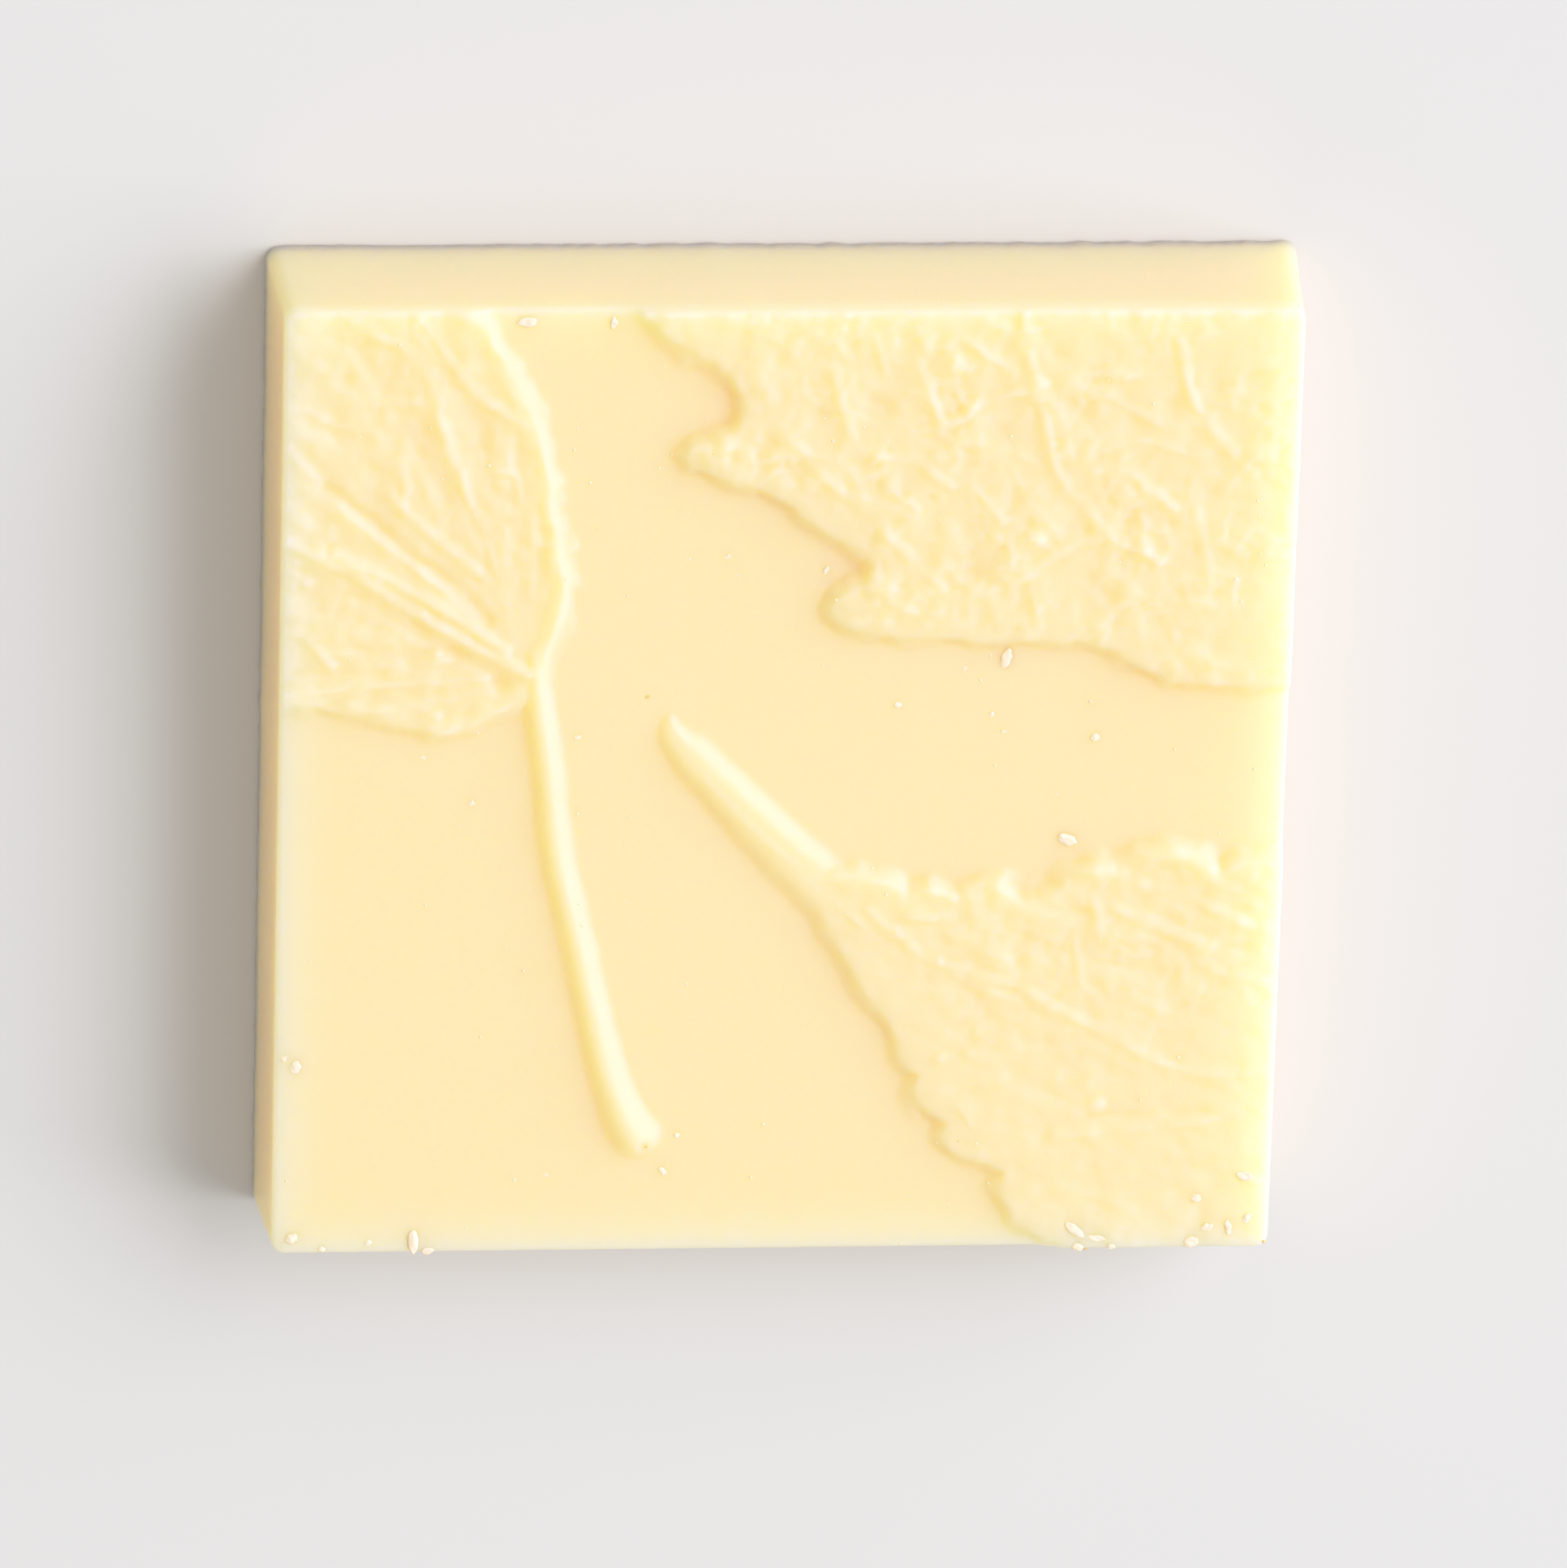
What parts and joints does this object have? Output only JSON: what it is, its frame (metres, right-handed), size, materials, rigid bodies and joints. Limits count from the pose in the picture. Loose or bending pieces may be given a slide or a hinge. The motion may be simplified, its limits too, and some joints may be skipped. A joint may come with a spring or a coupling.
{
  "type": "white chocolate square",
  "caption": "Square of white chocolate, cast in a shallow mould, with leaves and their stems in low relief on its face and a flat back.",
  "frame": {"origin": "centre of the flat back, on the surface that the square lies on", "axes": "+Z out of the moulded face, +X to the right and +Y up the face as the picture shows it"},
  "size_m": [0.04, 0.04, 0.0071],
  "materials": {
    "white_chocolate": "ivory white chocolate with a soft satin sheen"
  },
  "bodies": {
    "root": {"chocolate_square": "white_chocolate"}
  },
  "joints": []
}
